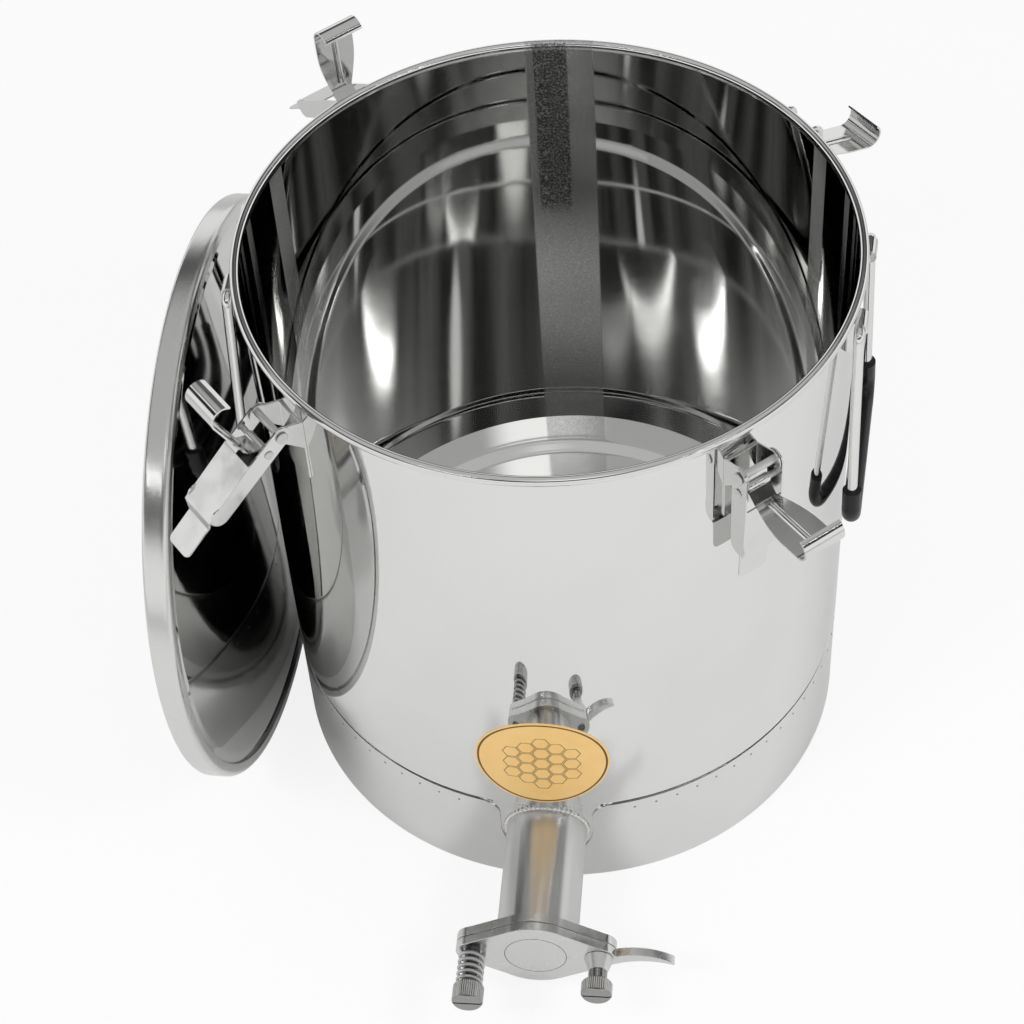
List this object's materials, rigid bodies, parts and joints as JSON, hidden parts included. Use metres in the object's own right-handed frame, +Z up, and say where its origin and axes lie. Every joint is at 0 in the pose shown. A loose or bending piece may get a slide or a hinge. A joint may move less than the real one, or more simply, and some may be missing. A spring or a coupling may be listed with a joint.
{
  "type": "honey settling tank",
  "caption": "Stainless honey settling tank with a swing-gate spout, bail handles, lid clamps and a loose lid beside it.",
  "frame": {"origin": "centre of the drum's base, on the ground", "axes": "+Z up along the drum's axis, -Y along the spout away from the drum, -X towards the lid"},
  "size_m": [0.4665, 0.5675, 0.468],
  "materials": {
    "mirror_steel": "mirror polished",
    "satin_steel": "satin",
    "bracket_steel": "pressed",
    "turned_steel": "turned",
    "rod_steel": "bright drawn",
    "spring_steel": "drawn",
    "wire": "drawn",
    "label": "printed foil",
    "black_sleeve": "smooth",
    "seal": "silicone"
  },
  "bodies": {
    "root": {"tank_wall": "mirror_steel", "tank_floor": "mirror_steel", "base_skirt": "mirror_steel", "rim_wire": "wire", "label_disc": "label", "spout_tube": "satin_steel", "spout_weld": "satin_steel", "gate_flange": "satin_steel", "gate_seal": "seal", "pivot_bolt": "turned_steel", "pivot_nut": "turned_steel", "lock_bolt": "turned_steel", "pivot_spring": "spring_steel", "left_handle_lugs": "bracket_steel", "right_handle_lugs": "bracket_steel", "clamp1_bracket": "bracket_steel", "clamp1_axle": "turned_steel", "clamp2_bracket": "bracket_steel", "clamp2_axle": "turned_steel", "clamp3_bracket": "bracket_steel", "clamp3_axle": "turned_steel", "clamp4_bracket": "bracket_steel", "clamp4_axle": "turned_steel"},
    "gate": {"gate_plate": "satin_steel"},
    "lock_cone": {"lock_washer": "turned_steel"},
    "lock_knob": {"lock_nut": "turned_steel"},
    "left_handle": {"left_handle_bail": "rod_steel", "left_handle_grip": "black_sleeve"},
    "right_handle": {"right_handle_bail": "rod_steel", "right_handle_grip": "black_sleeve"},
    "clamp1_lever": {"clamp1_lever": "bracket_steel", "clamp1_pin": "turned_steel"},
    "clamp1_hook": {"clamp1_hook": "bracket_steel"},
    "clamp2_lever": {"clamp2_lever": "bracket_steel", "clamp2_pin": "turned_steel"},
    "clamp2_hook": {"clamp2_hook": "bracket_steel"},
    "clamp3_lever": {"clamp3_lever": "bracket_steel", "clamp3_pin": "turned_steel"},
    "clamp3_hook": {"clamp3_hook": "bracket_steel"},
    "clamp4_lever": {"clamp4_lever": "bracket_steel", "clamp4_pin": "turned_steel"},
    "clamp4_hook": {"clamp4_hook": "bracket_steel"},
    "lid": {"lid_pan": "mirror_steel", "lid_seal": "seal"}
  },
  "joints": [
    {"name": "gate_swing", "type": "hinge", "parent": "root", "child": "gate", "pos_m": [-0.043, -0.2958, 0.056], "axis": [0, -1, 0], "range_deg": [0, 75]},
    {"name": "lock_travel", "type": "slide", "parent": "root", "child": "lock_cone", "axis": [0, -1, 0], "range_m": [0, 0.00375]},
    {"name": "lock_spin", "type": "hinge", "parent": "lock_cone", "child": "lock_knob", "pos_m": [0.043, -0.32, 0.056], "axis": [0, -1, 0], "range_deg": [0, 1080]},
    {"name": "left_handle_swing", "type": "hinge", "parent": "root", "child": "left_handle", "pos_m": [-0.203, 0, 0.42], "axis": [0, 1, 0], "range_deg": [0, 105]},
    {"name": "right_handle_swing", "type": "hinge", "parent": "root", "child": "right_handle", "pos_m": [0.20223, -0.01769, 0.42], "axis": [-0.0872, -0.9962, 0], "range_deg": [0, 105]},
    {"name": "clamp1_lever_turn", "type": "hinge", "parent": "root", "child": "clamp1_lever", "pos_m": [-0.16215, -0.14346, 0.411], "axis": [-0.6626, 0.749, 0], "range_deg": [-52, 30]},
    {"name": "clamp1_hook_turn", "type": "hinge", "parent": "clamp1_lever", "child": "clamp1_hook", "pos_m": [-0.17004, -0.15044, 0.40225], "axis": [0.6626, -0.749, 0], "range_deg": [-45, 18]},
    {"name": "clamp2_lever_turn", "type": "hinge", "parent": "root", "child": "clamp2_lever", "pos_m": [0.13829, -0.16658, 0.411], "axis": [-0.7694, -0.6388, 0], "range_deg": [0, 95]},
    {"name": "clamp2_hook_turn", "type": "hinge", "parent": "clamp2_lever", "child": "clamp2_hook", "pos_m": [0.13799, -0.16621, 0.39731], "axis": [0.7694, 0.6388, 0], "range_deg": [-95, 10]},
    {"name": "clamp3_lever_turn", "type": "hinge", "parent": "root", "child": "clamp3_lever", "pos_m": [0.16089, 0.14487, 0.411], "axis": [0.6691, -0.7431, 0], "range_deg": [0, 95]},
    {"name": "clamp3_hook_turn", "type": "hinge", "parent": "clamp3_lever", "child": "clamp3_hook", "pos_m": [0.16054, 0.14455, 0.39731], "axis": [-0.6691, 0.7431, 0], "range_deg": [-110, 0]},
    {"name": "clamp4_lever_turn", "type": "hinge", "parent": "root", "child": "clamp4_lever", "pos_m": [-0.14487, 0.16089, 0.411], "axis": [0.7431, 0.6691, 0], "range_deg": [-58, 28]},
    {"name": "clamp4_hook_turn", "type": "hinge", "parent": "clamp4_lever", "child": "clamp4_hook", "pos_m": [-0.1525, 0.16937, 0.40342], "axis": [-0.7431, -0.6691, 0], "range_deg": [-30, 25]},
    {"name": "lid_slide", "type": "slide", "parent": "root", "child": "lid", "axis": [-1, 0, 0], "range_m": [0, 0.33]}
  ],
  "couplings": [
    {"joint": "lock_spin", "follows": "lock_travel", "rad_per_m": 5026.5},
    {"joint": "lid_slide", "follows": "left_handle_swing", "m_per_rad": 0.17}
  ]
}
